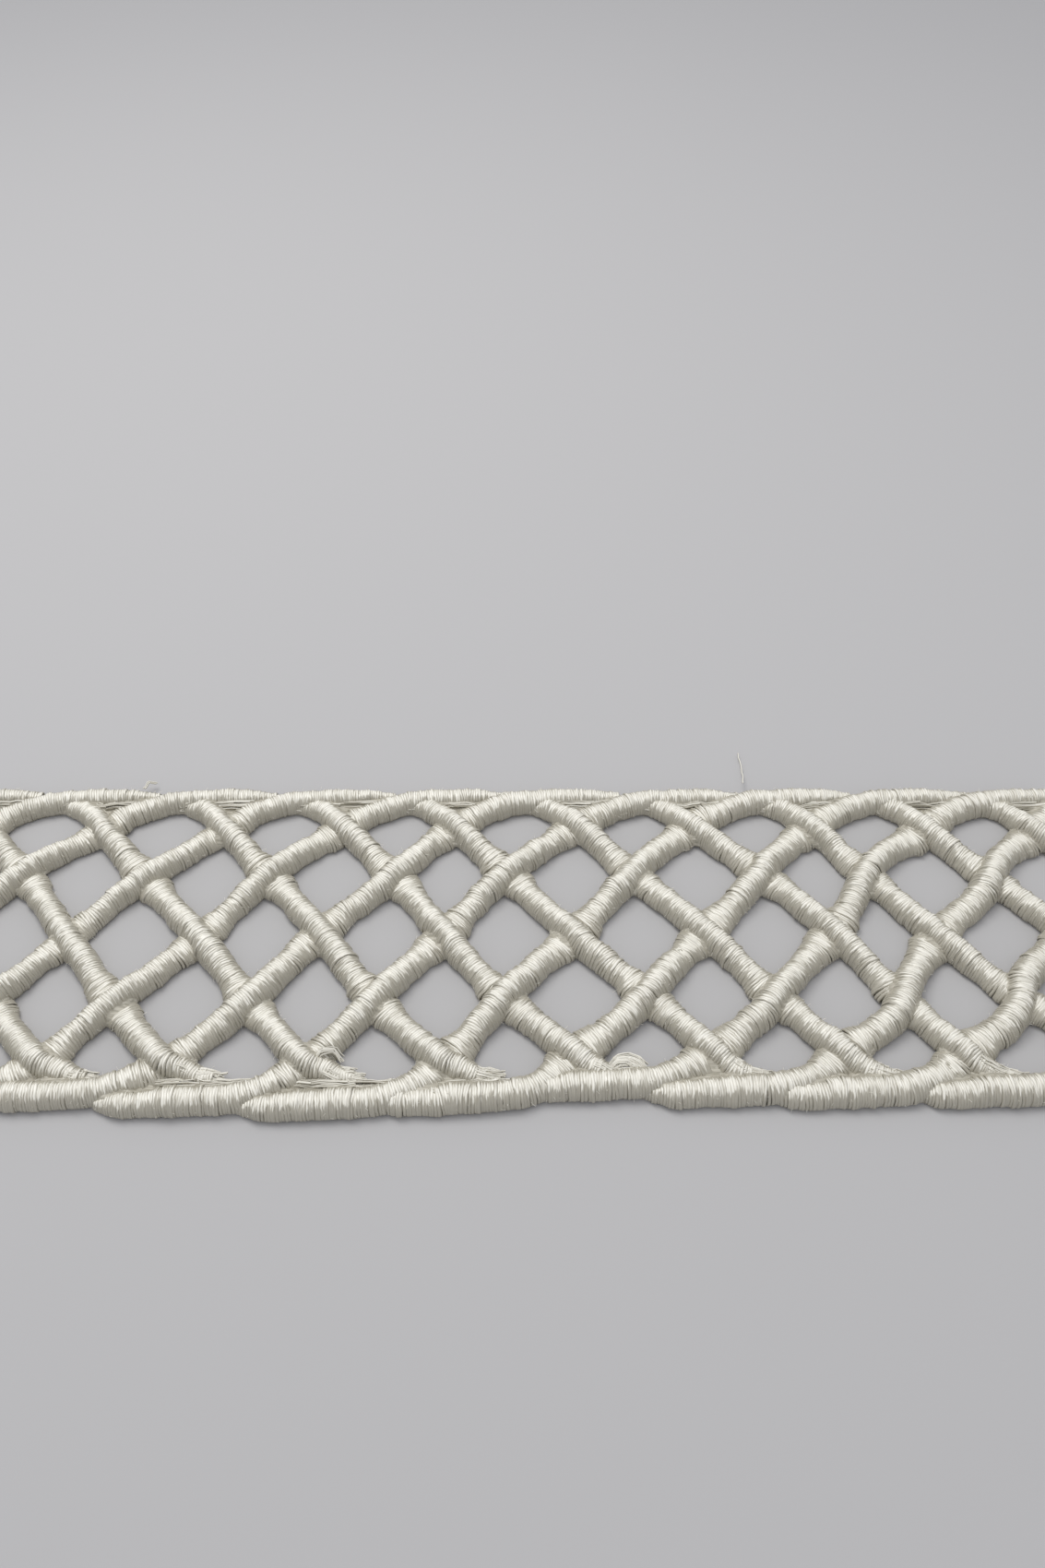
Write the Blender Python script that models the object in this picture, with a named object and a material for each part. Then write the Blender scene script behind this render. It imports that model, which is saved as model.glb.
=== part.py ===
# Openwork trim: a cut length of flat-backed lattice, stitched from rising and falling cords.
# Metres, +Z up. The trim lies flat along X, its width is along Y and its underside is at z = 0.

from math import cos, pi, radians, sin

import bmesh
import bpy
from mathutils import Matrix, Vector

MM = 0.001

# Driving sizes
TRIM_LENGTH = 0.120
PITCH = 0.0130  # along X, from one cord to the next of its family
FIRST_COLUMN_X = -0.0727  # where the first falling cord crosses the middle row
ROW_Y = (0.0143, 0.0078, 0.0, -0.0077, -0.0143)  # the five rows of crossings, top edge first
RISING_WIDTH = 0.0030
FALLING_WIDTH = 0.0029
OVER_CREST = 0.0027  # height of a cord where it passes over the other
UNDER_CREST = 0.0015  # and where it dips under
EDGE_CREST = 0.0021  # along the two edges
SHOULDER = 0.35  # height of a cord's upright sides, as a share of its crest
CROWN_SIDES = 5  # flats across a cord's rounded top
STATION_STEP = 0.0026  # between sections along a cord
SOLE_DEPTH = 0.0010  # how far a cord reaches below the surface before the sole is cut
SOLE_STEP = 0.00004  # each cord reaches this much deeper than the last, so no two soles share a plane

MIDDLE_SHIFT = 0.00026  # in Y, for edges that wander unevenly: it centres the trim on the X axis

FALLING_COUNT = 12
RISING_COUNT = 14
FIRST_RISING = -1  # the first rising cord starts one column before the first falling one

# How far each crossing has strayed from the even lattice, in millimetres: one line for each
# falling cord, with a pair (to the right, towards the top edge) for each row of crossings.
STRAY = (
    # row 1       row 2         row 3         row 4         row 5
    ((0.2, 0.1), (-0.2, 0.1), (0.3, -0.2), (-0.1, 0.0), (-0.3, -0.4)),
    ((-0.3, 0.2), (0.2, 0.0), (-0.2, 0.1), (0.3, -0.3), (0.2, -0.6)),
    ((0.1, 0.0), (-0.3, 0.2), (-0.3, -0.3), (-0.3, -0.5), (-0.6, -0.7)),
    ((0.3, -0.1), (-0.1, -0.4), (0.3, -0.3), (0.1, -0.2), (-0.2, -0.7)),
    ((0.8, -0.1), (0.1, 0.0), (-0.3, 0.4), (-0.5, -0.1), (0.0, -0.6)),
    ((0.8, 0.2), (0.5, 0.0), (-0.5, 0.1), (-0.6, 0.2), (-0.2, 0.3)),
    ((0.1, 0.3), (-0.4, 0.3), (-0.2, 0.1), (0.7, 0.5), (0.1, 0.5)),
    ((0.6, 0.5), (0.1, 0.3), (0.5, 0.4), (0.5, 0.3), (-0.4, 0.5)),
    ((0.3, 0.3), (0.9, 0.4), (0.8, 0.4), (0.1, -0.1), (-1.8, 0.3)),
    ((0.5, 0.2), (-0.8, 0.3), (-1.5, -0.1), (-1.2, 0.3), (-0.9, 0.2)),
    ((0.1, -0.1), (-0.6, -0.2), (-0.9, 0.0), (-0.4, 0.1), (0.2, 0.0)),
    ((-1.0, -0.5), (-0.3, 0.1), (0.1, -0.1), (0.2, 0.2), (-0.2, 0.1)),
)

# One line for each rising cord: its thickness as a share of RISING_WIDTH, its run along the
# lower edge as that run's distance from the trim's middle line in millimetres, and how far it
# leans upright, in degrees, where it passes over the falling cords in row 4 and in row 2.
RISING = (
    # thick, lower run, lean in row 4, lean in row 2
    (0.95, 18.1, 0, 0),
    (0.92, 18.0, 0, 4),
    (0.92, 18.1, 0, 2),
    (0.90, 18.0, 3, -3),
    (0.95, 18.0, -2, 2),
    (1.00, 18.1, 2, 4),
    (1.00, 18.7, 4, -2),
    (1.03, 19.0, 2, 5),
    (1.05, 18.4, 9, 10),
    (1.05, 17.0, 8, 12),
    (1.06, 17.6, 20, 22),
    (1.08, 17.7, 34, 28),
    (1.08, 17.6, 32, 12),
    (1.06, 17.6, 10, 0),
)

# Where a cord goes beyond its last crossing, in millimetres: how far away along X, how far up
# in Y, and the shares of its width and of the edge's crest that it has there. The Y of a lower
# run starts from the distance in the table above.
LOWER_RUN = (
    (-18.4, -0.5, 0.50, 0.70),
    (-17.6, -0.5, 0.90, 0.90),
    (-12.0, -0.2, 1.00, 1.00),
    (-6.8, 0.1, 1.00, 1.00),
    (-3.4, 1.2, 1.00, 0.95),
)
UPPER_RUN = (
    (2.8, 16.4, 1.00, 0.95),
    (6.6, 18.2, 0.95, 1.00),
    (10.8, 18.9, 0.78, 0.90),
    (14.6, 19.3, 0.68, 0.75),
    (18.4, 19.5, 0.45, 0.45),
)
FALLING_HEAD = (
    (-5.6, 18.0, 0.55, 0.60),
    (-2.5, 17.0, 0.95, 0.95),
)
FALLING_TAIL = (
    (1.8, -15.5, 0.95, 0.90),
    (3.8, -16.3, 0.75, 0.65),
    (6.2, -16.5, 0.35, 0.30),
)


def crossing(row, column):
    """Place of the crossing of a falling cord, counted from the left, in a row."""
    half_pitches = 2 * column + row - 2
    place = Vector((FIRST_COLUMN_X + half_pitches * PITCH / 2, ROW_Y[row]))
    if 0 <= column < FALLING_COUNT:
        place += Vector(STRAY[column][row]) * MM
    return place


def knot(place, width, crest, lean=0.0):
    centred = place + Vector((0, MIDDLE_SHIFT))
    return {"place": centred, "width": width, "crest": crest, "lean": radians(lean)}


def run_knots(run, origin_x, run_y, width):
    """Knots of a cord's run along an edge, away from the X of its last crossing."""
    return [
        knot(Vector((origin_x + away * MM, run_y + y * MM)), width * wide, EDGE_CREST * high)
        for away, y, wide, high in run
    ]


def falling_route(column):
    """A falling cord, from its head at the upper edge: over in rows 1, 3 and 5."""
    places = [crossing(row, column) for row in range(5)]
    head = run_knots(FALLING_HEAD, places[0].x, 0, FALLING_WIDTH)
    tail = run_knots(FALLING_TAIL, places[4].x, 0, FALLING_WIDTH)
    middle = [
        knot(place, FALLING_WIDTH, UNDER_CREST if row % 2 else OVER_CREST)
        for row, place in enumerate(places)
    ]
    return head + middle + tail


def rising_route(number):
    """A rising cord, from its blunt end on the lower edge: over in rows 4 and 2."""
    thick, lower_y, lean_low, lean_high = RISING[number]
    width = RISING_WIDTH * thick
    column = number + FIRST_RISING
    leans = {3: lean_low, 1: lean_high}
    places = {row: crossing(row, column + 2 - row) for row in range(5)}
    lower = run_knots(LOWER_RUN, places[4].x, -lower_y * MM, width)
    upper = run_knots(UPPER_RUN, places[0].x, 0, width)
    middle = [
        knot(places[row], width, OVER_CREST if row % 2 else UNDER_CREST, leans.get(row, 0))
        for row in range(4, -1, -1)
    ]
    return lower + middle + upper


def headings(knots):
    """Direction of the route at each knot, turned by the knot's lean."""
    found = []
    for i, this in enumerate(knots):
        before = knots[max(i - 1, 0)]["place"]
        after = knots[min(i + 1, len(knots) - 1)]["place"]
        found.append(Matrix.Rotation(this["lean"], 2) @ (after - before).normalized())
    return found


def stations(knots):
    """Sections along a smooth curve through the knots: (place, heading, width, crest)."""
    ways = headings(knots)
    found = []
    for (a, b), (way_a, way_b) in zip(zip(knots, knots[1:]), zip(ways, ways[1:])):
        reach = (b["place"] - a["place"]).length
        steps = max(1, round(reach / STATION_STEP))
        for step in range(steps):
            t = step / steps
            ease = t * t * (3 - 2 * t)
            place = (
                a["place"] * (1 - ease)
                + b["place"] * ease
                + way_a * reach * t * (1 - t) ** 2
                - way_b * reach * t * t * (1 - t)
            )
            heading = way_a.lerp(way_b, t).normalized()
            width = a["width"] + (b["width"] - a["width"]) * ease
            crest = a["crest"] + (b["crest"] - a["crest"]) * ease
            found.append((place, heading, width, crest))
    last = knots[-1]
    found.append((last["place"], ways[-1], last["width"], last["crest"]))
    return found


def section(place, heading, width, crest, sole):
    """Points round a cord's section: up one side, over the rounded top and down the other."""
    across = Vector((-heading.y, heading.x)) * width / 2
    shoulder = crest * SHOULDER
    ring = [(1.0, sole)]
    for side in range(CROWN_SIDES + 1):
        turn = pi * side / CROWN_SIDES
        ring.append((cos(turn), shoulder + (crest - shoulder) * sin(turn)))
    ring.append((-1.0, sole))
    return [(*(place + across * aside), height) for aside, height in ring]


def cord(name, knots, sole):
    """A closed solid cord along its knots, reaching below the surface to its sole."""
    mesh = bmesh.new()
    rings = [
        [mesh.verts.new(point) for point in section(*station, sole)]
        for station in stations(knots)
    ]
    for ring, following in zip(rings, rings[1:]):
        for i in range(len(ring)):
            j = (i + 1) % len(ring)
            mesh.faces.new((ring[i], ring[j], following[j], following[i]))
    mesh.faces.new(reversed(rings[0]))
    mesh.faces.new(rings[-1])
    bmesh.ops.recalc_face_normals(mesh, faces=mesh.faces)
    data = bpy.data.meshes.new(name)
    mesh.to_mesh(data)
    mesh.free()
    return bpy.data.objects.new(name, data)


def trimming_block():
    """The space that the finished length fills: it levels the sole and cuts both ends square."""
    mesh = bmesh.new()
    bmesh.ops.create_cube(mesh, size=1.0)
    tall, wide = 0.010, 0.060
    bmesh.ops.scale(mesh, vec=(TRIM_LENGTH, wide, tall), verts=mesh.verts)
    bmesh.ops.translate(mesh, vec=(0, 0, tall / 2), verts=mesh.verts)
    data = bpy.data.meshes.new("trimming_block")
    mesh.to_mesh(data)
    mesh.free()
    return bpy.data.objects.new("trimming_block", data)


def thread_material():
    material = bpy.data.materials.new("ivory_thread")
    material.use_nodes = True
    shader = material.node_tree.nodes["Principled BSDF"]
    shader.inputs["Base Color"].default_value = (0.80, 0.78, 0.67, 1)
    shader.inputs["Roughness"].default_value = 0.45
    shader.inputs["Metallic"].default_value = 0.0
    return material


def hide(helper):
    helper.hide_render = True
    helper.display_type = "WIRE"


def build():
    for old in list(bpy.data.objects):
        bpy.data.objects.remove(old, do_unlink=True)
    scene = bpy.context.scene
    routes = [("rising", rising_route(number)) for number in range(RISING_COUNT)]
    routes += [("falling", falling_route(column)) for column in range(FALLING_COUNT)]
    cords = []
    for i, (family, knots) in enumerate(routes):
        cords.append(cord(f"{family}_cord_{i}", knots, -SOLE_DEPTH - i * SOLE_STEP))

    trim = cords[RISING_COUNT // 2]
    trim.name = "lace_trim"
    scene.collection.objects.link(trim)
    others = bpy.data.collections.new("cords")
    scene.collection.children.link(others)
    for other in cords:
        if other is not trim:
            others.objects.link(other)
            hide(other)
    fuse = trim.modifiers.new("fuse_cords", "BOOLEAN")
    fuse.operation = "UNION"
    fuse.operand_type = "COLLECTION"
    fuse.collection = others

    block = trimming_block()
    scene.collection.objects.link(block)
    hide(block)
    level = trim.modifiers.new("level_sole_and_ends", "BOOLEAN")
    level.operation = "INTERSECT"
    level.object = block
    trim.data.materials.append(thread_material())


build()
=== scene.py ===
from math import cos, exp, pi, radians, sin

import bmesh
import bpy
from mathutils import Matrix, Vector


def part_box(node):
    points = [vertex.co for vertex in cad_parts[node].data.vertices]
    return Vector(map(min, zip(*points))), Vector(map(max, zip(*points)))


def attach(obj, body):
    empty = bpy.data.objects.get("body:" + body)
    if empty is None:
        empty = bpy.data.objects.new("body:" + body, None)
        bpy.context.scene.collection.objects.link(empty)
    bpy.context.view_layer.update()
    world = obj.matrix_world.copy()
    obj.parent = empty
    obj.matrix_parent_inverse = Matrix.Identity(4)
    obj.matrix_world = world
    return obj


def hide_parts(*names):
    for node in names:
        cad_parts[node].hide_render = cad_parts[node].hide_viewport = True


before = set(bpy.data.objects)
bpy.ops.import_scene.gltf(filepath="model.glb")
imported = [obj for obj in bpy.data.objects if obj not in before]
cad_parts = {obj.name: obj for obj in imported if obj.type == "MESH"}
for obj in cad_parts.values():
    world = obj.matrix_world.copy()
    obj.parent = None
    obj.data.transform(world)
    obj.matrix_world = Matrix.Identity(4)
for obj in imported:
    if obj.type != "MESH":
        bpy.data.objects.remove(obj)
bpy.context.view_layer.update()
scene = bpy.context.scene
trimLow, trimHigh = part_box("lace_trim")
mm = 0.001


# Helpers for node trees

class Wire:
    # An output of a node. A sum with it adds a Math node to its tree.
    def __init__(self, tree, socket):
        self.tree = tree
        self.socket = socket

    def maths(self, operation, other=0.0, reflected=False):
        first, second = (other, self) if reflected else (self, other)
        made = self.tree.add("ShaderNodeMath", {"operation": operation}, {0: first, 1: second})
        return made["Value"]

    def __add__(self, other):
        return self.maths("ADD", other)

    def __radd__(self, other):
        return self.maths("ADD", other, reflected=True)

    def __sub__(self, other):
        return self.maths("SUBTRACT", other)

    def __rsub__(self, other):
        return self.maths("SUBTRACT", other, reflected=True)

    def __mul__(self, other):
        return self.maths("MULTIPLY", other)

    def __rmul__(self, other):
        return self.maths("MULTIPLY", other, reflected=True)

    def __truediv__(self, other):
        return self.maths("DIVIDE", other)

    def __rtruediv__(self, other):
        return self.maths("DIVIDE", other, reflected=True)

    def __pow__(self, other):
        return self.maths("POWER", other)


class Node:
    # A node whose outputs are read by name or by number.
    def __init__(self, tree, node):
        self.tree = tree
        self.node = node

    def __getitem__(self, key):
        return Wire(self.tree, pickSocket(self.node.outputs, key))


class Tree:
    # A node tree that is filled by its method add. The other methods only call that one.
    def __init__(self, tree):
        self.tree = tree

    def add(self, kind, settings=None, sockets=None):
        node = self.tree.nodes.new(kind)
        for name, value in (settings or {}).items():
            setattr(node, name, value)
        for key, value in (sockets or {}).items():
            socket = pickSocket(node.inputs, key)
            if isinstance(value, Wire):
                self.tree.links.new(value.socket, socket)
            else:
                socket.default_value = value
        return Node(self, node)

    def triple(self, x, y, z):
        return self.add("ShaderNodeCombineXYZ", None, {"X": x, "Y": y, "Z": z})["Vector"]

    def parts(self, vector):
        return self.add("ShaderNodeSeparateXYZ", None, {"Vector": vector})

    def noise(self, place, scale, detail):
        sockets = {"Vector": place, "Scale": scale, "Detail": detail}
        return self.add("ShaderNodeTexNoise", None, sockets)

    def chance(self, seed, low=0.0, high=1.0):
        # A random number for each element
        sockets = {"Min": low, "Max": high, "Seed": seed}
        return self.add("FunctionNodeRandomValue", {"data_type": "FLOAT"}, sockets)["Value"]

    def position(self):
        return self.add("GeometryNodeInputPosition")["Position"]

    def index(self):
        return self.add("GeometryNodeInputIndex")["Index"]

    def ahead(self):
        # Which way a curve runs
        return self.parts(self.add("GeometryNodeInputTangent")["Tangent"])

    def store(self, shape, name, value, kind="FLOAT", domain="POINT"):
        settings = {"data_type": kind, "domain": domain}
        sockets = {"Geometry": shape, "Name": name, "Value": value}
        return self.add("GeometryNodeStoreNamedAttribute", settings, sockets)["Geometry"]

    def stored(self, name):
        settings = {"data_type": "FLOAT"}
        return self.add("GeometryNodeInputNamedAttribute", settings, {"Name": name})["Attribute"]

    def move(self, shape, place):
        sockets = {"Geometry": shape, "Position": place}
        return self.add("GeometryNodeSetPosition", None, sockets)["Geometry"]

    def shift(self, shape, offset):
        sockets = {"Geometry": shape, "Offset": offset}
        return self.add("GeometryNodeSetPosition", None, sockets)["Geometry"]

    def circle(self, corners, radius):
        sockets = {"Resolution": corners, "Radius": radius}
        return self.add("GeometryNodeCurvePrimitiveCircle", None, sockets)["Curve"]

    def curve(self, mesh):
        return self.add("GeometryNodeMeshToCurve", None, {"Mesh": mesh})["Curve"]

    def resampled(self, curve, mode, amount):
        # By LENGTH, the distance from point to point, or by COUNT, their number
        sockets = {"Curve": curve, mode.capitalize(): amount}
        return self.add("GeometryNodeResampleCurve", {"mode": mode}, sockets)["Curve"]

    def real(self, shape):
        return self.add("GeometryNodeRealizeInstances", None, {"Geometry": shape})["Geometry"]

    def copies(self, shape, points, rotation, scale):
        # The shape, once on each point
        sockets = {"Points": points, "Instance": shape, "Rotation": rotation, "Scale": scale}
        return self.real(self.add("GeometryNodeInstanceOnPoints", None, sockets)["Instances"])

    def tilted(self, curve, tilt):
        sockets = {"Curve": curve, "Tilt": tilt}
        return self.add("GeometryNodeSetCurveTilt", None, sockets)["Curve"]

    def swept(self, curve, ring, scale=1.0):
        sockets = {"Curve": curve, "Profile Curve": ring, "Scale": scale, "Fill Caps": True}
        return self.add("GeometryNodeCurveToMesh", None, sockets)["Mesh"]


def pickSocket(sockets, key):
    if isinstance(key, int):
        return sockets[key]
    return next(socket for socket in sockets if socket.name == key and socket.enabled)


def geometryTree(name, numbers, counts):
    # A Geometry Nodes tree with named inputs: (tree, the node that gives them)
    group = bpy.data.node_groups.new(name, "GeometryNodeTree")
    kinds = {"Geometry": "Geometry", "Finish": "Material"}
    kinds.update({label: "Float" for label in numbers})
    kinds.update({label: "Int" for label in counts})
    for label, kind in kinds.items():
        group.interface.new_socket(label, in_out="INPUT", socket_type="NodeSocket" + kind)
    group.interface.new_socket("Geometry", in_out="OUTPUT", socket_type="NodeSocketGeometry")
    tree = Tree(group)
    return tree, tree.add("NodeGroupInput")


def endTree(tree, shape, finish):
    # Every tree ends alike: instances made real, smooth, with its material
    sockets = {"Geometry": tree.real(shape)}
    smooth = tree.add("GeometryNodeSetShadeSmooth", None, sockets)["Geometry"]
    sockets = {"Geometry": smooth, "Material": finish}
    dressed = tree.add("GeometryNodeSetMaterial", None, sockets)["Geometry"]
    tree.add("NodeGroupOutput", None, {"Geometry": dressed})
    return tree.tree


# Helpers for objects

def addObject(name, data):
    made = bpy.data.objects.new(name, data)
    scene.collection.objects.link(made)
    return made


def plainPiece(name, guide):
    # What a guide's modifiers make, as a piece with a plain mesh. The guide goes.
    bpy.context.view_layer.update()
    shaped = guide.evaluated_get(bpy.context.evaluated_depsgraph_get())
    piece = addObject(name, bpy.data.meshes.new_from_object(shaped))
    bpy.data.objects.remove(guide)
    return piece


def madeByNodes(name, guide, group, values):
    # The values are named as the tree's inputs: threadWidth goes to Thread Width
    modifier = guide.modifiers.new(group.name, "NODES")
    modifier.node_group = group
    for item in group.interface.items_tree:
        key = item.name[0].lower() + item.name[1:].replace(" ", "")
        if item.in_out == "INPUT" and key in values:
            modifier[item.identifier] = values[key]
    return plainPiece(name, guide)


def reportPiece(piece):
    triangles = sum(len(face.vertices) - 2 for face in piece.data.polygons)
    print(f"{piece.name}: {triangles} triangles")


# The lattice: where the cords cross and how they run. It is the solid's, but for the slimmer
# starts of the lower runs and the wider upper runs.

lattice = {
    "pitch": 13.0 * mm,  # from one cord to the next of its family
    "firstColumnX": -72.7 * mm,
    "rowY": (14.3 * mm, 7.8 * mm, 0.0, -7.7 * mm, -14.3 * mm),
    "middleShift": 0.26 * mm,
    "risingWidth": 3.0 * mm,
    "fallingWidth": 2.9 * mm,
    "overCrest": 2.7 * mm,
    "underCrest": 1.5 * mm,
    "edgeCrest": 2.1 * mm,
    "shoulder": 0.22,  # height of the upright sides, as a share of the crest
    "step": 0.45 * mm,  # between sections along a cord
}

# How far each crossing strays, in mm: a line for each falling cord, a pair (right, up) for
# each row
strays = (
    ((0.2, 0.1), (-0.2, 0.1), (0.3, -0.2), (-0.1, 0.0), (-0.3, -0.4)),
    ((-0.3, 0.2), (0.2, 0.0), (-0.2, 0.1), (0.3, -0.3), (0.2, -0.6)),
    ((0.1, 0.0), (-0.3, 0.2), (-0.3, -0.3), (-0.3, -0.5), (-0.6, -0.7)),
    ((0.3, -0.1), (-0.1, -0.4), (0.3, -0.3), (0.1, -0.2), (-0.2, -0.7)),
    ((0.8, -0.1), (0.1, 0.0), (-0.3, 0.4), (-0.5, -0.1), (0.0, -0.6)),
    ((0.8, 0.2), (0.5, 0.0), (-0.5, 0.1), (-0.6, 0.2), (-0.2, 0.3)),
    ((0.1, 0.3), (-0.4, 0.3), (-0.2, 0.1), (0.7, 0.5), (0.1, 0.5)),
    ((0.6, 0.5), (0.1, 0.3), (0.5, 0.4), (0.5, 0.3), (-0.4, 0.5)),
    ((0.3, 0.3), (0.9, 0.4), (0.8, 0.4), (0.1, -0.1), (-1.8, 0.3)),
    ((0.5, 0.2), (-0.8, 0.3), (-1.5, -0.1), (-1.2, 0.3), (-0.9, 0.2)),
    ((0.1, -0.1), (-0.6, -0.2), (-0.9, 0.0), (-0.4, 0.1), (0.2, 0.0)),
    ((-1.0, -0.5), (-0.3, 0.1), (0.1, -0.1), (0.2, 0.2), (-0.2, 0.1)),
)

# A line for each rising cord: thickness share, lower run from the middle line in mm, and the
# lean upright in degrees in row 4 and in row 2
risingCords = (
    (0.95, 18.1, 0, 0),
    (0.92, 18.0, 0, 4),
    (0.92, 18.1, 0, 2),
    (0.90, 18.0, 3, -3),
    (0.95, 18.0, -2, 2),
    (1.00, 18.1, 2, 4),
    (1.00, 18.7, 4, -2),
    (1.03, 19.0, 2, 5),
    (1.05, 18.4, 9, 10),
    (1.05, 17.0, 8, 12),
    (1.06, 17.6, 20, 22),
    (1.08, 17.7, 34, 28),
    (1.08, 17.6, 32, 12),
    (1.06, 17.6, 10, 0),
)

# Beyond a cord's last crossing, in mm: away along X, up in Y, and shares of width and crest
lowerRun = (
    (-19.8, -0.1, 0.25, 0.40),
    (-18.4, -0.45, 0.55, 0.65),
    (-16.9, -0.55, 0.86, 0.88),
    (-12.0, -0.2, 1.00, 1.00),
    (-6.8, 0.1, 1.00, 1.00),
    (-3.4, 1.2, 1.00, 0.95),
)
upperRun = (
    (2.8, 16.4, 1.00, 0.95),
    (6.6, 18.1, 1.00, 1.00),
    (10.8, 18.65, 0.95, 0.97),
    (14.6, 19.0, 0.86, 0.82),
    (18.4, 19.3, 0.55, 0.50),
)
fallingHead = ((-5.6, 18.0, 0.55, 0.60), (-2.5, 17.0, 0.95, 0.95))
fallingTail = ((1.8, -15.5, 0.95, 0.90), (3.8, -16.3, 0.75, 0.65), (6.2, -16.5, 0.35, 0.30))


def crossing(row, column):
    halfPitches = 2 * column + row - 2
    x = lattice["firstColumnX"] + halfPitches * lattice["pitch"] / 2
    place = Vector((x, lattice["rowY"][row]))
    if 0 <= column < len(strays):
        place += Vector(strays[column][row]) * mm
    return place


def knot(place, width, crest, lean=0.0):
    centred = place + Vector((0, lattice["middleShift"]))
    return {"place": centred, "width": width, "crest": crest, "lean": radians(lean)}


def runKnots(run, originX, runY, width):
    crest = lattice["edgeCrest"]
    return [
        knot(Vector((originX + away * mm, runY + y * mm)), width * wide, crest * high)
        for away, y, wide, high in run
    ]


def fallingRoute(column):
    places = [crossing(row, column) for row in range(5)]
    width = lattice["fallingWidth"]
    crests = (lattice["overCrest"], lattice["underCrest"])
    middle = [knot(place, width, crests[row % 2]) for row, place in enumerate(places)]
    head = runKnots(fallingHead, places[0].x, 0, width)
    return head + middle + runKnots(fallingTail, places[4].x, 0, width)


def risingRoute(number):
    thick, lowerY, leanLow, leanHigh = risingCords[number]
    width = lattice["risingWidth"] * thick
    crests = (lattice["underCrest"], lattice["overCrest"])
    leans = {3: leanLow, 1: leanHigh}
    places = {row: crossing(row, number + 1 - row) for row in range(5)}
    middle = [
        knot(places[row], width, crests[row % 2], leans.get(row, 0)) for row in range(4, -1, -1)
    ]
    lower = runKnots(lowerRun, places[4].x, -lowerY * mm, width)
    return lower + middle + runKnots(upperRun, places[0].x, 0, width)


def headings(knots):
    found = []
    for i, this in enumerate(knots):
        before = knots[max(i - 1, 0)]["place"]
        after = knots[min(i + 1, len(knots) - 1)]["place"]
        found.append(Matrix.Rotation(this["lean"], 2) @ (after - before).normalized())
    return found


def stations(knots):
    # Sections along a smooth curve through the knots: (place, heading, width, crest)
    ways = headings(knots)
    found = []
    for (a, b), (wayA, wayB) in zip(zip(knots, knots[1:]), zip(ways, ways[1:])):
        reach = (b["place"] - a["place"]).length
        steps = max(1, round(reach / lattice["step"]))
        for step in range(steps):
            t = step / steps
            ease = t * t * (3 - 2 * t)
            place = (
                a["place"] * (1 - ease)
                + b["place"] * ease
                + wayA * reach * t * (1 - t) ** 2
                - wayB * reach * t * t * (1 - t)
            )
            width = a["width"] + (b["width"] - a["width"]) * ease
            crest = a["crest"] + (b["crest"] - a["crest"]) * ease
            found.append((place, wayA.lerp(wayB, t).normalized(), width, crest))
    last = knots[-1]
    found.append((last["place"], ways[-1], last["width"], last["crest"]))
    return found


webs = {
    "flare": 0.33,  # how much wider a cord is where it comes out from under another
    "away": 1.7 * mm,  # from the middle of the crossing
    "length": 1.15 * mm,
    "underlays": ((17.9 * mm, 1.2 * mm), (-16.9 * mm, 0.9 * mm)),  # their y and crest
    "underlayWidth": 2.0 * mm,
    "underlayEnd": 64,  # mm from the middle
    "underlayStep": 4,  # mm
}


def flared(line, crossings):
    found = []
    for place, heading, width, crest in line:
        nearest = min((place - spot).length for spot in crossings)
        share = exp(-(((nearest - webs["away"]) / webs["length"]) ** 2))
        found.append((place, heading, width * (1 + webs["flare"] * share), crest))
    return found


def underCrossings(rows, column, step):
    # Where a cord passes under: at every second row
    shift = Vector((0, lattice["middleShift"]))
    return [crossing(row, column + step * row) + shift for row in rows]


def levelLine(places, y, width, crest):
    # Stations of a straight line along X, at places in mm
    return [(Vector((x * mm, y)), Vector((1, 0)), width, crest) for x in places]


risingLines = [
    flared(stations(risingRoute(number)), underCrossings((0, 2, 4), number + 1, -1))
    for number in range(len(risingCords))
]
fallingLines = [
    flared(stations(fallingRoute(column)), underCrossings((1, 3), column, 0))
    for column in range(len(strays))
]
underlayPlaces = range(-webs["underlayEnd"], webs["underlayEnd"] + 1, webs["underlayStep"])
underlays = [
    levelLine(underlayPlaces, y, webs["underlayWidth"], crest) for y, crest in webs["underlays"]
]
print(f"lattice: {len(risingLines)} rising cords and {len(fallingLines)} falling cords")


# Finishes

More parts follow.
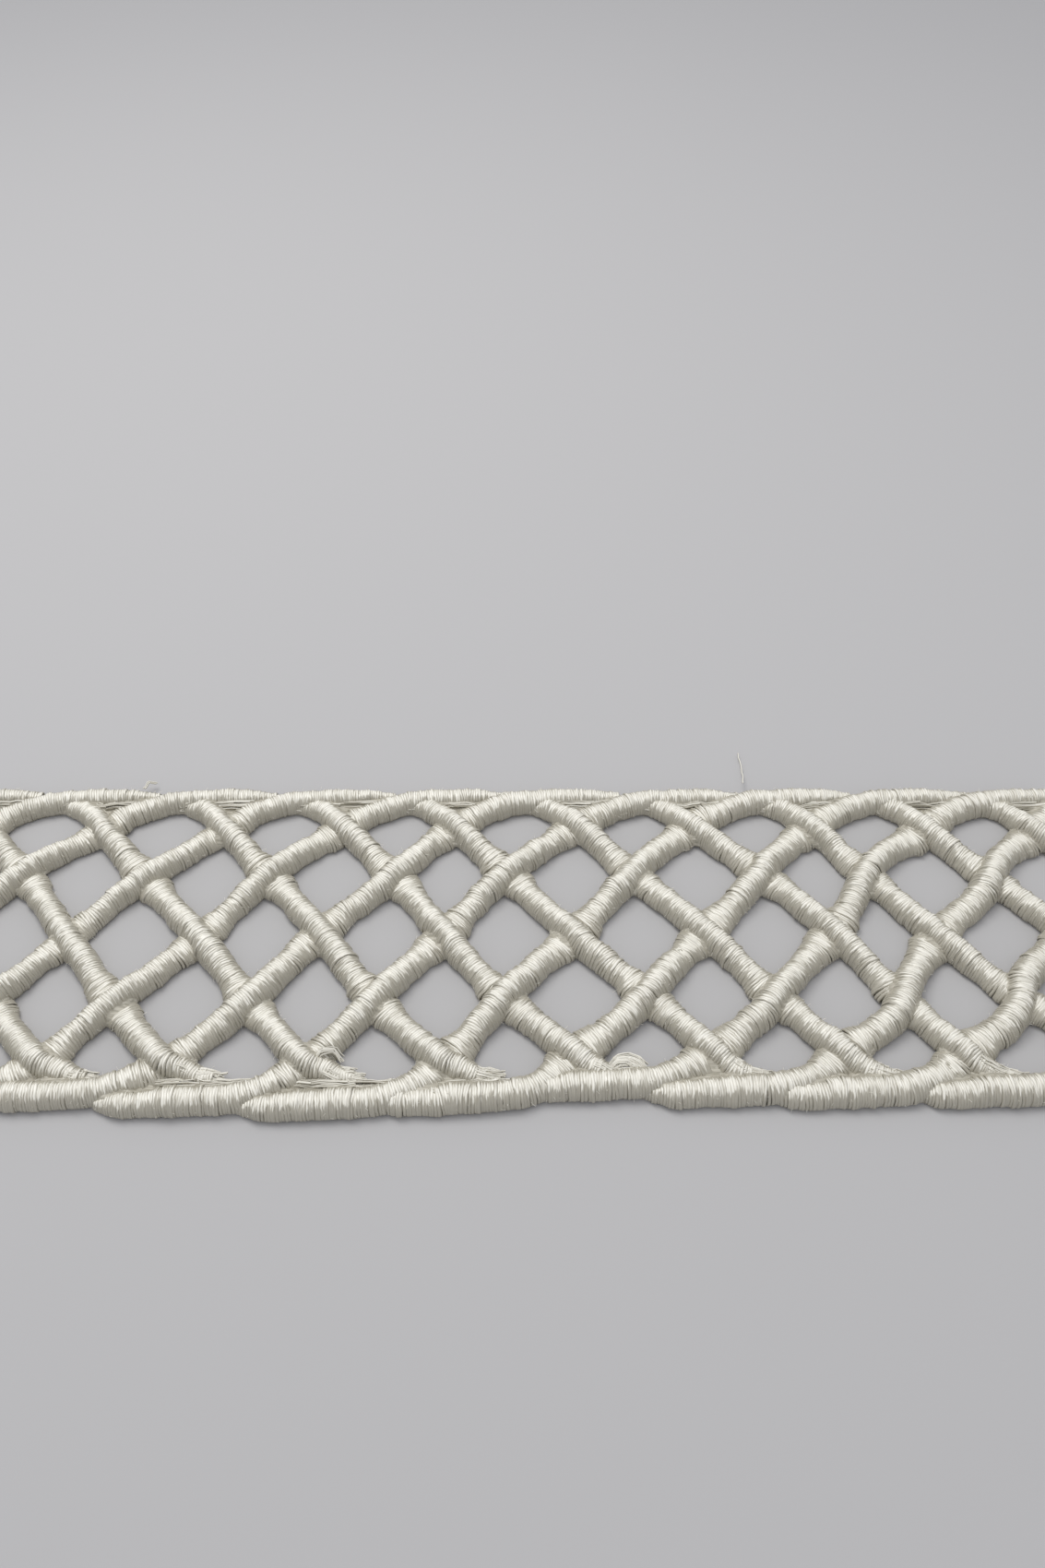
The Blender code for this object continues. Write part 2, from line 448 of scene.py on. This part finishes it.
# The silk's colours hold painted light: a painted highlight over the top of each cord, painted
# shade down its sides and towards each thread's edges.
silk = {
    "crown": (1.0, 0.975, 0.88, 1),  # painted highlight, where a thread lies over the top of its cord
    "ivory": (0.66, 0.63, 0.535, 1),
    "flank": (0.465, 0.437, 0.358, 1),  # painted shade down the cord's sides
    "crownReach": 0.118,  # half the share of a loop that gets the painted highlight
    "crownEdge": 0.035,  # half the stretch over which the painted highlight ends
    "crownFray": 0.34,  # how far the painted highlight's end differs from strand to strand
    "frays": 2.5,  # ragged ends of the painted highlight, along one loop
    "gloss": 0.96,  # painted sheen of a crown
    "glossStreaks": 2.6,  # how much the painted sheen changes with the streaks
    "glossTones": 0.4,  # and from thread to thread
    "ivoryCrowns": 0.8,  # share of ivory that the painted highlight of a crown adds
    "ivoryStreaks": 0.9,  # and that a streak adds
    "plainStreak": 0.4,  # the streak that adds none
    "roughness": 0.40,
    "roughnessSpread": 0.20,
    "shine": 1.0,
    "apart": 397.0,  # from one thread's place in the patterns to another's
    "ripples": 7.0,  # along one loop
    "rippleDetail": 2.0,
    "streaks": 4.0,
    "streakLayer": 7.0,  # of the pattern, so that it isn't the frays' own
    "strands": 1.6,  # how finely the painted sheen splits across one thread
    "ridge": 1.0,  # how fast the painted sheen fades from the middle of a thread to its sides, as painted shade
    "filaments": 1.6,  # fine lines across one thread
    "filamentDepth": 0.05 * mm,
}
padding = {
    "ivory": (0.64, 0.61, 0.52, 1),
    # Darker fibres: partly the yarn's own random tone, partly painted shade where the padding
    # shows between the stitches
    "cream": (0.40, 0.375, 0.305, 1),
    "contrast": 3,
    "roughness": 0.75,
    "fibreScale": 3600.0,
    "fibreStretch": (0.10, 1.0, 1.0),  # they lie lengthwise
    "fibreDepth": 0.14 * mm,
}


def newMaterial(name):
    material = bpy.data.materials.new(name)
    material.use_nodes = True
    material.node_tree.nodes.clear()
    return material, Tree(material.node_tree)


def endMaterial(material, tree, sockets):
    shader = tree.add("ShaderNodeBsdfPrincipled", None, sockets)["BSDF"]
    tree.add("ShaderNodeOutputMaterial", None, {"Surface": shader})
    return material


def blendColours(tree, factor, first, second):
    sockets = {"Factor": factor, "A": first, "B": second}
    return tree.add("ShaderNodeMix", {"data_type": "RGBA"}, sockets)["Result"]


def bumps(tree, height, depth):
    sockets = {"Strength": 1.0, "Distance": depth, "Height": height}
    return tree.add("ShaderNodeBump", None, sockets)["Normal"]


def silkMaterial():
    # Each thread carries its own tone, along (its place round the loop) and side. The colour
    # holds painted light: a painted highlight over the top of the cord, fading to painted shade
    # down its sides.
    material, tree = newMaterial("ivorySilk")
    tone = tree.add("ShaderNodeAttribute", {"attribute_name": "tone"})["Fac"]
    along = tree.add("ShaderNodeAttribute", {"attribute_name": "along"})["Fac"]
    side = tree.parts(tree.add("ShaderNodeAttribute", {"attribute_name": "side"})["Vector"])

    def pattern(x, y, z, detail):
        return tree.noise(tree.triple(x, y, z), 1.0, detail)["Fac"]

    ownPlace = tone * silk["apart"]
    grain = pattern(
        along * silk["ripples"] + ownPlace,
        side["X"] * silk["filaments"],
        side["Y"] * silk["filaments"],
        silk["rippleDetail"],
    )
    strand = ownPlace + side["X"] * silk["strands"]
    reach = pattern(along * silk["frays"], strand, 0.0, 0.0)
    streak = pattern(along * silk["streaks"], strand, silk["streakLayer"], 1.0)
    # How far round the loop from the cord's top, with a ragged end: where the painted highlight
    # stops
    fromTop = (along - 0.5).maths("ABSOLUTE") + (reach - 0.5) * silk["crownFray"]
    sockets = {
        "Value": fromTop,
        "From Min": silk["crownReach"] - silk["crownEdge"],
        "From Max": silk["crownReach"] + silk["crownEdge"],
        "To Min": 1.0,
        "To Max": 0.0,
    }
    settings = {"interpolation_type": "SMOOTHSTEP"}
    crown = tree.add("ShaderNodeMapRange", settings, sockets)["Result"]
    # Painted shade towards each thread's sides
    ridge = (side["X"].maths("ABSOLUTE") * silk["ridge"]).maths("MINIMUM", 1.0)
    paintedSheenStreak = (streak - 0.5) * silk["glossStreaks"]
    paintedSheenTone = (tone - 0.5) * silk["glossTones"]
    # How much of the painted highlight colour a spot gets: most in the middle of a thread over
    # the crown
    bright = crown * (silk["gloss"] - ridge + paintedSheenStreak + paintedSheenTone)
    # The painted highlight also lifts the colour from the flank's towards ivory; the streaks are
    # the threads' own random tone
    ivory = crown * silk["ivoryCrowns"] + (streak - silk["plainStreak"]) * silk["ivoryStreaks"]
    # Painted shade of the flanks, lifted towards ivory by the painted highlight and the streaks
    base = blendColours(tree, ivory, silk["flank"], silk["ivory"])
    sockets = {
        "Base Color": blendColours(tree, bright, base, silk["crown"]),
        "Roughness": silk["roughness"] + silk["roughnessSpread"] * (grain - 0.5),
        "Specular IOR Level": silk["shine"],
        "Normal": bumps(tree, grain, silk["filamentDepth"]),
    }
    return endMaterial(material, tree, sockets)


def paddingMaterial():
    material, tree = newMaterial("packedYarn")
    place = tree.add("ShaderNodeTexCoord")["Object"]
    sockets = {0: place, 1: padding["fibreStretch"]}
    stretched = tree.add("ShaderNodeVectorMath", {"operation": "MULTIPLY"}, sockets)["Vector"]
    fibres = tree.noise(stretched, padding["fibreScale"], 1.0)["Fac"]
    pale = (fibres - 0.5) * padding["contrast"] + 0.5
    sockets = {
        "Base Color": blendColours(tree, pale, padding["cream"], padding["ivory"]),
        "Roughness": padding["roughness"],
        "Normal": bumps(tree, fibres, padding["fibreDepth"]),
    }
    return endMaterial(material, tree, sockets)


silkFinish = silkMaterial()
paddingFinish = paddingMaterial()
print("finishes: silky thread and packed yarn")


# The padding under the stitches: all the cords fused into one soft core

core = {
    "inset": 0.14 * mm,  # how far it lies inside the stitches
    "leastInset": 0.25,  # share of that at the cut ends, where the core fills them
    "fullBefore": 1.1 * mm,
    "leastHalf": 0.1 * mm,  # of a section's width
    "leastTop": 2.2,  # of a section's height, in insets
    "crownSides": 8,
    "voxel": 0.42 * mm,
    "softening": 3,  # rounds
    "softness": 0.5,
}


def sweptCore(mesh, line):
    # A closed D-shaped tube along a line, slimmer than its cord by the inset all round
    rings = []
    for place, heading, width, crest in line:
        fromCut = (trimHigh.x - abs(place.x) - core["fullBefore"]) / core["fullBefore"]
        inset = core["inset"] * min(max(fromCut, core["leastInset"]), 1.0)
        half = max(width / 2 - inset, core["leastHalf"])
        top = max(crest - inset, core["leastTop"] * inset)
        across = Vector((-heading.y, heading.x)) * half
        shoulder = top * lattice["shoulder"]
        ring = [(1.0, inset)]
        for side in range(core["crownSides"] + 1):
            turn = pi * side / core["crownSides"]
            ring.append((cos(turn), shoulder + (top - shoulder) * sin(turn)))
        ring.append((-1.0, inset))
        rings.append([mesh.verts.new((*(place + across * far), high)) for far, high in ring])
    for ring, following in zip(rings, rings[1:]):
        for i in range(len(ring)):
            j = (i + 1) % len(ring)
            mesh.faces.new((ring[i], ring[j], following[j], following[i]))
    mesh.faces.new(reversed(rings[0]))
    mesh.faces.new(rings[-1])


def cutToLength(piece, short=0.0):
    # Cuts a closed mesh square at both ends of the trim and closes the cuts
    mesh = bmesh.new()
    mesh.from_mesh(piece.data)
    for end, way in ((trimLow.x + short, -1), (trimHigh.x - short, 1)):
        everything = mesh.verts[:] + mesh.edges[:] + mesh.faces[:]
        cut = bmesh.ops.bisect_plane(
            mesh, geom=everything, plane_co=(end, 0, 0), plane_no=(way, 0, 0), clear_outer=True
        )
        rims = [part for part in cut["geom_cut"] if isinstance(part, bmesh.types.BMEdge)]
        filled = bmesh.ops.triangle_fill(mesh, edges=rims, use_beauty=True, normal=(way, 0, 0))
        for part in filled["geom"]:
            if isinstance(part, bmesh.types.BMFace) and part.normal.x * way < 0:
                part.normal_flip()
    mesh.to_mesh(piece.data)
    mesh.free()


def paddedCore():
    mesh = bmesh.new()
    for line in risingLines + fallingLines + underlays:
        sweptCore(mesh, line)
    bmesh.ops.recalc_face_normals(mesh, faces=mesh.faces)
    data = bpy.data.meshes.new("core_guide")
    mesh.to_mesh(data)
    mesh.free()
    guide = addObject("core_guide", data)
    fuse = guide.modifiers.new("fuse", "REMESH")
    fuse.mode = "VOXEL"
    fuse.voxel_size = core["voxel"]
    fuse.use_smooth_shade = True
    soften = guide.modifiers.new("soften", "SMOOTH")
    soften.factor = core["softness"]
    soften.iterations = core["softening"]
    piece = plainPiece("padded_core", guide)
    cutToLength(piece)
    piece.data.materials.clear()
    piece.data.materials.append(paddingFinish)
    reportPiece(piece)
    return piece


paddedCorePiece = paddedCore()


# All thread, stitched or loose

thread = {
    "corners": 4,  # of its section
    "waist": 0.72,  # width at mid height, as a share of the full one
    "taper": 0.28,  # how much narrower it is on its outer side, and wider on its inner one
    "depth": 0.75,  # of the section, as a share of the thread's height
    "lift": 0.25,  # of the section outwards, in half heights
    "thinnest": 0.9,
    "thickness": 0.2,  # how much thicker than the thinnest the thickest is
    "overrun": 3 * mm,  # past the cut ends, before the pieces are cut
    "short": 0.03 * mm,  # how far the cut threads end inside the core's cut
}


def threadMesh(tree, given, curves):
    # Threads along curves. Their section is flattened and narrower on its outer side.
    ring = tree.circle(thread["corners"], 1.0)
    parts = tree.parts(tree.position())
    outward = parts["X"] + parts["Y"]
    sideways = (parts["X"] - parts["Y"]) * (thread["waist"] - thread["taper"] * outward)
    outward = outward * thread["depth"] + thread["lift"]
    ring = tree.store(ring, "side", tree.triple(sideways, outward, 0.0), "FLOAT_VECTOR")
    wide = sideways * given["Thread Width"] * 0.5
    high = outward * given["Thread Height"] * 0.5
    ring = tree.move(ring, tree.triple(wide, high, 0.0))
    scale = thread["thinnest"] + tree.stored("tone") * thread["thickness"]
    return tree.swept(curves, ring, scale)


def wandering(tree, curves, scale, amount, lowest):
    # Moves each point a little, and none below the lowest height
    spot = tree.position()
    shaken = tree.parts(tree.noise(spot, scale, 1.0)["Color"])
    parts = tree.parts(spot)
    x, y, z = (parts[axis] + (shaken[axis] - 0.5) * 2 * amount for axis in "XYZ")
    return tree.move(curves, tree.triple(x, y, z.maths("MAXIMUM", lowest)))


def headingOf(ahead):
    return ahead["Y"].maths("ARCTAN2", ahead["X"])


def offsetFrom(tree, ahead, aside, rise):
    # To a curve's left, and up
    return tree.triple(aside * ahead["Y"] * -1, aside * ahead["X"], rise)


def guideMesh(name, lines):
    # The lines as edges, with the cord's width and crest at each point
    points = [place.to_3d() for line in lines for place, _, _, _ in line]
    edges = []
    start = 0
    for line in lines:
        edges += [(start + i, start + i + 1) for i in range(len(line) - 1)]
        start += len(line)
    data = bpy.data.meshes.new(name)
    data.from_pydata(points, edges, [])
    for label, column in (("width", 2), ("crest", 3)):
        values = [station[column] for line in lines for station in line]
        data.attributes.new(label, "FLOAT", "POINT").data.foreach_set("value", values)
    return addObject(name, data)


def insideCut(lines):
    # The parts of the lines that lie inside the cut length, with the overrun
    low = trimLow.x - thread["overrun"]
    high = trimHigh.x + thread["overrun"]
    parts = [[station for station in line if low < station[0].x < high] for line in lines]
    return [part for part in parts if len(part) > 1]


def threadPiece(name, lines, group, values):
    values = {**values, "shoulder": lattice["shoulder"], "finish": silkFinish}
    piece = madeByNodes(name, guideMesh(name + "_guide", lines), group, values)
    cutToLength(piece, thread["short"])
    reportPiece(piece)
    return piece


# The satin stitches: each is one loop of thread round the padding

stitches = {
    "pitch": 0.26 * mm,
    "threadWidth": 0.43 * mm,
    "threadHeight": 0.16 * mm,
    "corners": 18,  # points round one loop
    "soleBend": 0.35,  # the less, the squarer the corners at the sole
    "slant": radians(2.0),  # either way, from one thread to the next
    "drift": radians(9.0),  # and slowly along a cord
    "tilt": radians(1.5),
    "roll": radians(4.0),  # of the flattened thread, about its own line
    "standOut": 0.11 * mm,
    "standFew": 3.0,  # the more, the fewer stitches stand out
    "standLow": 0.4,  # share of standOut by which the others lie deeper
    "slowScale": 420.0,  # of what changes slowly along a cord
    "slowWidth": 0.30,
    "slowCrest": 0.25,
    "slowSway": 0.10,  # to the side, as a share of the cord's width
    "wander": 0.11 * mm,
    "wanderScale": 1100.0,
    "seed": 4,
}


def unitLoop(tree, given):
    # One loop, a unit wide and high: a rounded top on upright sides, from the middle of its sole
    corners = given["Corners"]
    shoulder = given["Shoulder"]
    index = tree.index()
    share = index / corners - 0.5
    foot = 0.5 - 2 / corners  # only four points lie on the sole, so they turn faster past it
    past = (share.maths("ABSOLUTE") - foot).maths("MAXIMUM", 0.0)
    past = past * share.maths("SIGN") * (corners / 8 - 0.25 / foot)
    turn = (share * 0.25 / foot + past) * (2 * pi) + pi / 2
    wide = turn.maths("COSINE")
    high = turn.maths("SINE")
    below = high.maths("LESS_THAN", -0.001)
    squared = wide.maths("SIGN") * wide.maths("ABSOLUTE") ** stitches["soleBend"]
    flattened = 1 - high.maths("ABSOLUTE") ** 0.5
    loopY = (wide + below * (squared - wide)) * 0.5
    topZ = shoulder + (1 - shoulder) * high
    loopZ = topZ + below * (shoulder * flattened - topZ)
    loop = tree.move(tree.circle(corners, 1.0), tree.triple(0.0, loopY, loopZ))
    return tree.store(loop, "along", index / corners)


def stitchTree():
    numbers = (
        "Pitch", "Thread Width", "Thread Height", "Shoulder", "Slant", "Drift", "Tilt", "Roll",
        "Stand Out", "Wander",
    )
    tree, given = geometryTree("satinStitches", numbers, ("Corners", "Seed"))
    seed = given["Seed"]
    loop = unitLoop(tree, given)

    # Where the stitches stand
    stands = tree.resampled(tree.curve(given["Geometry"]), "LENGTH", given["Pitch"])
    stands = tree.store(stands, "tone", tree.chance(seed + 1))
    stands = tree.store(stands, "roll", tree.chance(seed + 5, -1.0) * given["Roll"])
    heading = headingOf(tree.ahead())
    slowly = tree.parts(tree.noise(tree.position(), stitches["slowScale"], 1.0)["Color"])
    slant = tree.chance(seed + 2, -1.0) * given["Slant"]
    slant = slant + (slowly["X"] - 0.5) * 2 * given["Drift"]
    tilt = tree.chance(seed + 3, -1.0) * given["Tilt"]

    # How wide and high each is, and how far to the side
    inset = given["Thread Height"] * 0.5
    proud = tree.chance(seed + 4) ** stitches["standFew"] - stitches["standLow"]
    proud = proud * given["Stand Out"]
    wider = 1 + (slowly["Y"] - 0.5) * stitches["slowWidth"]
    higher = 1 + (slowly["Z"] - 0.5) * stitches["slowCrest"]
    width = tree.stored("width") * wider - 2 * inset + 2 * proud
    height = tree.stored("crest") * higher - 2 * inset + proud
    sway = (slowly["Z"] - slowly["X"]) * tree.stored("width") * stitches["slowSway"]
    swayX = sway * heading.maths("SINE") * -1
    swayY = sway * heading.maths("COSINE")
    stands = tree.shift(stands, tree.triple(swayX, swayY, inset))
    rotation = tree.triple(tilt, 0.0, heading + slant)
    loops = tree.copies(loop, stands, rotation, tree.triple(1.0, width, height))
    loops = wandering(tree, loops, stitches["wanderScale"], given["Wander"], inset)
    loops = tree.tilted(loops, tree.stored("roll"))
    return endTree(tree, threadMesh(tree, given, loops), given["Finish"])


# Strands that lie lengthwise: the cords' frayed tails and the threads at the edges and loose

strands = {
    "reach": 0.44,  # to either side, as a share of the width that they fill
    "splayFrom": 0.35,  # share of the strands that splay to the right
    "splayBend": 3.0,  # the more, the nearer the end they splay
    "arch": 0.8,
    "floor": 0.68,  # height of the lowest, as a share of the crest
    "levels": 0.24,
    "climb": 0.14,  # towards the end
    "glossChange": 0.16,  # of the painted sheen, towards the end
    "wanderScale": 700.0,
}


def strandTree():
    # Loose threads along each line, side by side within the cord and splayed at the end
    numbers = (
        "Thread Width", "Thread Height", "Splay", "Wander", "Latest", "Shortest", "Gloss Place",
    )
    tree, given = geometryTree("looseStrands", numbers, ("Strands", "Points", "Seed"))
    seed = given["Seed"]
    sockets = {"Geometry": tree.curve(given["Geometry"]), "Amount": given["Strands"]}
    line = tree.add("GeometryNodeDuplicateElements", {"domain": "SPLINE"}, sockets)["Geometry"]
    for shift, name in enumerate(("tone", "place", "level", "swing")):
        line = tree.store(line, name, tree.chance(seed + shift), domain="CURVE")
    line = tree.store(line, "far", tree.add("GeometryNodeSplineParameter")["Factor"])
    sockets = {
        "Curve": line,
        "Start": tree.chance(seed + 8) * given["Latest"],
        "End": given["Shortest"] + (1 - given["Shortest"]) * tree.chance(seed + 7),
    }
    line = tree.add("GeometryNodeTrimCurve", {"mode": "FACTOR"}, sockets)["Curve"]
    line = tree.resampled(line, "COUNT", given["Points"])
    far = tree.stored("far")
    place = (tree.stored("place") - 0.5) * 2
    splay = (tree.stored("swing") - strands["splayFrom"]) * far ** strands["splayBend"]
    aside = place * tree.stored("width") * strands["reach"] + splay * given["Splay"]
    arched = (1 - place * place * strands["arch"]) ** 0.5
    level = strands["floor"] + strands["levels"] * tree.stored("level") + strands["climb"] * far
    rise = tree.stored("crest") * arched * level
    line = tree.shift(line, offsetFrom(tree, tree.ahead(), aside, rise))
    lowest = given["Thread Height"] * 0.5
    line = wandering(tree, line, strands["wanderScale"], given["Wander"], lowest)
    # Where each strand sits in the painted sheen of the loops
    line = tree.store(line, "along", given["Gloss Place"] + far * strands["glossChange"])
    return endTree(tree, threadMesh(tree, given, tree.tilted(line, pi)), given["Finish"])


tails = {
    "stations": 15,  # of a falling cord's line, where its threads lie lengthwise
    "bare": 3,  # of them, past the last stitch
    "strands": 70,
    "points": 9,  # along a strand
    "threadWidth": 0.18 * mm,
    "threadHeight": 0.13 * mm,
    "splay": 1.2 * mm,  # at the loose end
    "wander": 0.35 * mm,
    "latest": 0.60,  # share of the length where a strand starts at most
    "shortest": 0.62,  # and where it ends at least
    "glossPlace": 0.42,  # where round a loop a thread would have this painted sheen
    "seed": 61,
}
loose = {
    "strands": 1,  # because each line of looseThreads is repeated
    "points": 10,
    "threadWidth": 0.17 * mm,
    "threadHeight": 0.13 * mm,
    "spread": 0.9 * mm,
    "spreadHeight": 0.9 * mm / 4,
    "splay": 0.8 * mm,
    "wander": 0.30 * mm,
    "latest": 0.06,
    "shortest": 0.85,
    "glossPlace": 0.42,
    "seed": 71,
}
lengthwise = {  # over the underlays
    "first": -64,  # mm along the edge, where the first starts
    "last": 60,
    "every": 5,  # mm
    "reach": 9,  # mm
    "step": 3,  # mm
    "width": 1.4 * mm,
    "rise": 0.35 * mm,  # over the underlay's crest
    "strands": 12,
    "points": 9,
    "threadWidth": 0.22 * mm,
    "threadHeight": 0.15 * mm,
    "splay": 0.3 * mm,
    "wander": 0.35 * mm,
    "latest": 0.3,
    "shortest": 0.7,
    "glossPlace": 0.29,
    "seed": 91,
}

# Where single threads stand loose: (how many side by side, points in mm)
looseThreads = (
    (14, (8.3, -15.3, 0.7), (9.0, -14.5, 1.3), (10.1, -14.2, 1.3), (11.3, -14.6, 1.0),
        (12.2, -15.2, 0.7)),
    (12, (7.9, -15.5, 0.8), (8.7, -14.8, 1.3), (9.9, -14.7, 1.3), (11.1, -15.2, 0.9)),
    (12, (8.2, -15.7, 0.8), (9.2, -15.2, 1.1), (10.4, -15.1, 1.1), (11.8, -15.6, 0.8)),
    (5, (-20.3, -15.0, 1.0), (-19.2, -14.0, 1.8), (-18.0, -13.9, 1.5), (-17.2, -14.6, 0.7)),
    (4, (54.6, -13.4, 0.9), (55.6, -12.4, 1.8), (56.8, -12.6, 1.6), (57.4, -13.6, 0.6)),
    (1, (25.0, 26.8, 0.2), (25.3, 24.0, 0.2), (25.1, 20.8, 1.0)),
    (2, (-43.2, 20.4, 0.8), (-42.6, 21.4, 1.0), (-41.7, 21.7, 0.4)),
)

tailLines = [line[-tails["stations"]:] for line in fallingLines]
looseLines = [
    [
        (Vector(place) * mm, Vector((1, 0)), loose["spread"], loose["spreadHeight"])
        for place in places
    ]
    for count, *places in looseThreads
    for _ in range(count)
]
lengthwiseLines = [
    levelLine(
        range(start, start + lengthwise["reach"] + 1, lengthwise["step"]),
        y,
        lengthwise["width"],
        crest + lengthwise["rise"],
    )
    for y, crest in webs["underlays"]
    for start in range(lengthwise["first"], lengthwise["last"] + 1, lengthwise["every"])
]


# Fine fuzz that stands off the cords

fuzz = {
    "spacing": 0.33 * mm,  # along the cords
    "length": 0.5 * mm,
    "shortest": 0.4,  # share of the length
    "bend": radians(65.0),  # either way
    "curl": 0.45,  # how far a hair's tip leans over, as a share of its length
    "thickness": 0.035 * mm,
    "corners": 3,  # of a hair's section
    "points": 5,
    "turnFrom": 0.12,  # where the lowest hairs stand, in radians up round the cord
    "reach": 0.47,  # share of the width where a hair is rooted
    "height": 0.96,  # and of the crest
    "wander": 0.3,  # share of the length
    "wanderScale": 1500.0,
    "gloss": 0.5,  # place in the painted sheen: that of a thread over the top of its cord
    "seed": 81,
}


def fuzzTree():
    numbers = ("Spacing", "Length", "Bend", "Thickness", "Shoulder")
    tree, given = geometryTree("standingFuzz", numbers, ("Points", "Seed"))
    seed = given["Seed"]
    shoulder = given["Shoulder"]
    bend = given["Bend"]
    share = tree.index() / (given["Points"] - 1)
    sockets = {"Start": (0, 0, 0), "End": (0, 0, 1)}
    hair = tree.add("GeometryNodeCurvePrimitiveLine", None, sockets)["Curve"]
    hair = tree.resampled(hair, "COUNT", given["Points"])
    hair = tree.move(hair, tree.triple(share * share * fuzz["curl"], 0.0, share))

    stands = tree.resampled(tree.curve(given["Geometry"]), "LENGTH", given["Spacing"])
    ahead = tree.ahead()
    turn = tree.chance(seed + 1, fuzz["turnFrom"], pi - fuzz["turnFrom"])
    aside = turn.maths("COSINE") * tree.stored("width") * fuzz["reach"]
    rise = tree.stored("crest") * (shoulder + (1 - shoulder) * turn.maths("SINE"))
    rotation = tree.triple(
        turn - pi / 2 + tree.chance(seed + 2, -1.0) * bend,
        tree.chance(seed + 3, -1.0) * bend,
        headingOf(ahead),
    )
    size = given["Length"] * tree.chance(seed + 4, fuzz["shortest"])
    stands = tree.shift(stands, offsetFrom(tree, ahead, aside, rise * fuzz["height"]))
    hairs = tree.copies(hair, stands, rotation, tree.triple(size, size, size))
    wander = given["Length"] * fuzz["wander"]
    hairs = wandering(tree, hairs, fuzz["wanderScale"], wander, given["Thickness"])
    mesh = tree.swept(hairs, tree.circle(fuzz["corners"], given["Thickness"] * 0.5))
    # Every hair gets the painted highlight of a thread over the top of its cord
    for name in ("along", "tone"):
        mesh = tree.store(mesh, name, fuzz["gloss"])
    return endTree(tree, mesh, given["Finish"])


satinStitches = stitchTree()
looseStrands = strandTree()
standingFuzz = fuzzTree()
stitchedFalling = [line[:-tails["bare"]] for line in fallingLines]
stitchedRuns = (  # name, cords, and what it adds to the seed
    ("rising_stitches_left", risingLines[:5], 0),
    ("rising_stitches_middle", risingLines[5:9], 10),
    ("rising_stitches_right", risingLines[9:], 20),
    ("falling_stitches_left", stitchedFalling[:6], 30),
    ("falling_stitches_right", stitchedFalling[6:], 40),
)
strandRuns = (
    ("frayed_tails", tailLines, tails),
    ("loose_threads", looseLines, loose),
    ("edge_threads", lengthwiseLines, lengthwise),
)
threadPieces = []
for name, lines, extra in stitchedRuns:
    values = {**stitches, "seed": stitches["seed"] + extra}
    threadPieces.append(threadPiece(name, insideCut(lines), satinStitches, values))
for name, lines, values in strandRuns:
    threadPieces.append(threadPiece(name, lines, looseStrands, values))
fuzzyLines = insideCut(risingLines + stitchedFalling)
threadPieces.append(threadPiece("standing_fuzz", fuzzyLines, standingFuzz, fuzz))


# Floor, light and camera

studio = {
    "floorColour": (0.53, 0.526, 0.531, 1),
    "floorRoughness": 0.85,
    "floorSize": 1.6,
    "skyColour": (0.95, 0.96, 1.0, 1),
    "skyStrength": 0.61,
    "lamps": (  # name, direction from the trim, how far away, size, power
        ("key", (-0.28, 0.42, 0.86), 0.36, 0.18, 0.40),
        ("softbox", (0.0, 0.20, 0.98), 0.4, 0.22, 0.20),
    ),
    "lampColour": (1.0, 0.985, 0.955),
    "lens": 30.07,
    "cameraPlace": (0, -78.74 * mm, 112.0 * mm),
    "cameraPitch": 42.0,  # degrees up from straight down
    "cameraClip": 5 * mm,
}


def makeFloor():
    half = studio["floorSize"] / 2
    data = bpy.data.meshes.new("floor")
    corners = [(-half, -half, 0), (half, -half, 0), (half, half, 0), (-half, half, 0)]
    data.from_pydata(corners, [], [(0, 1, 2, 3)])
    material, tree = newMaterial("paleFloor")
    sockets = {"Base Color": studio["floorColour"], "Roughness": studio["floorRoughness"]}
    data.materials.append(endMaterial(material, tree, sockets))
    return addObject("floor", data)


def makeLights():
    world = bpy.data.worlds.new("studio")
    world.use_nodes = True
    backdrop = world.node_tree.nodes["Background"]
    backdrop.inputs["Color"].default_value = studio["skyColour"]
    backdrop.inputs["Strength"].default_value = studio["skyStrength"]
    scene.world = world
    for name, direction, away, size, power in studio["lamps"]:
        data = bpy.data.lights.new(name, "AREA")
        data.shape = "DISK"
        data.size = size
        data.energy = power
        data.color = studio["lampColour"]
        lamp = addObject(name, data)
        way = Vector(direction).normalized()
        lamp.location = way * away
        lamp.rotation_euler = way.to_track_quat("Z", "Y").to_euler()


def makeCamera():
    data = bpy.data.cameras.new("camera")
    data.lens = studio["lens"]
    data.clip_start = studio["cameraClip"]
    camera = addObject("camera", data)
    camera.location = studio["cameraPlace"]
    camera.rotation_euler = (radians(studio["cameraPitch"]), 0, 0)
    scene.camera = camera


floor = makeFloor()
makeLights()
makeCamera()
scene.view_settings.view_transform = "Standard"
print("floor, light and camera")


# What the frame is told

for piece in [paddedCorePiece, *threadPieces]:
    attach(piece, "root")
    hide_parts("lace_trim")
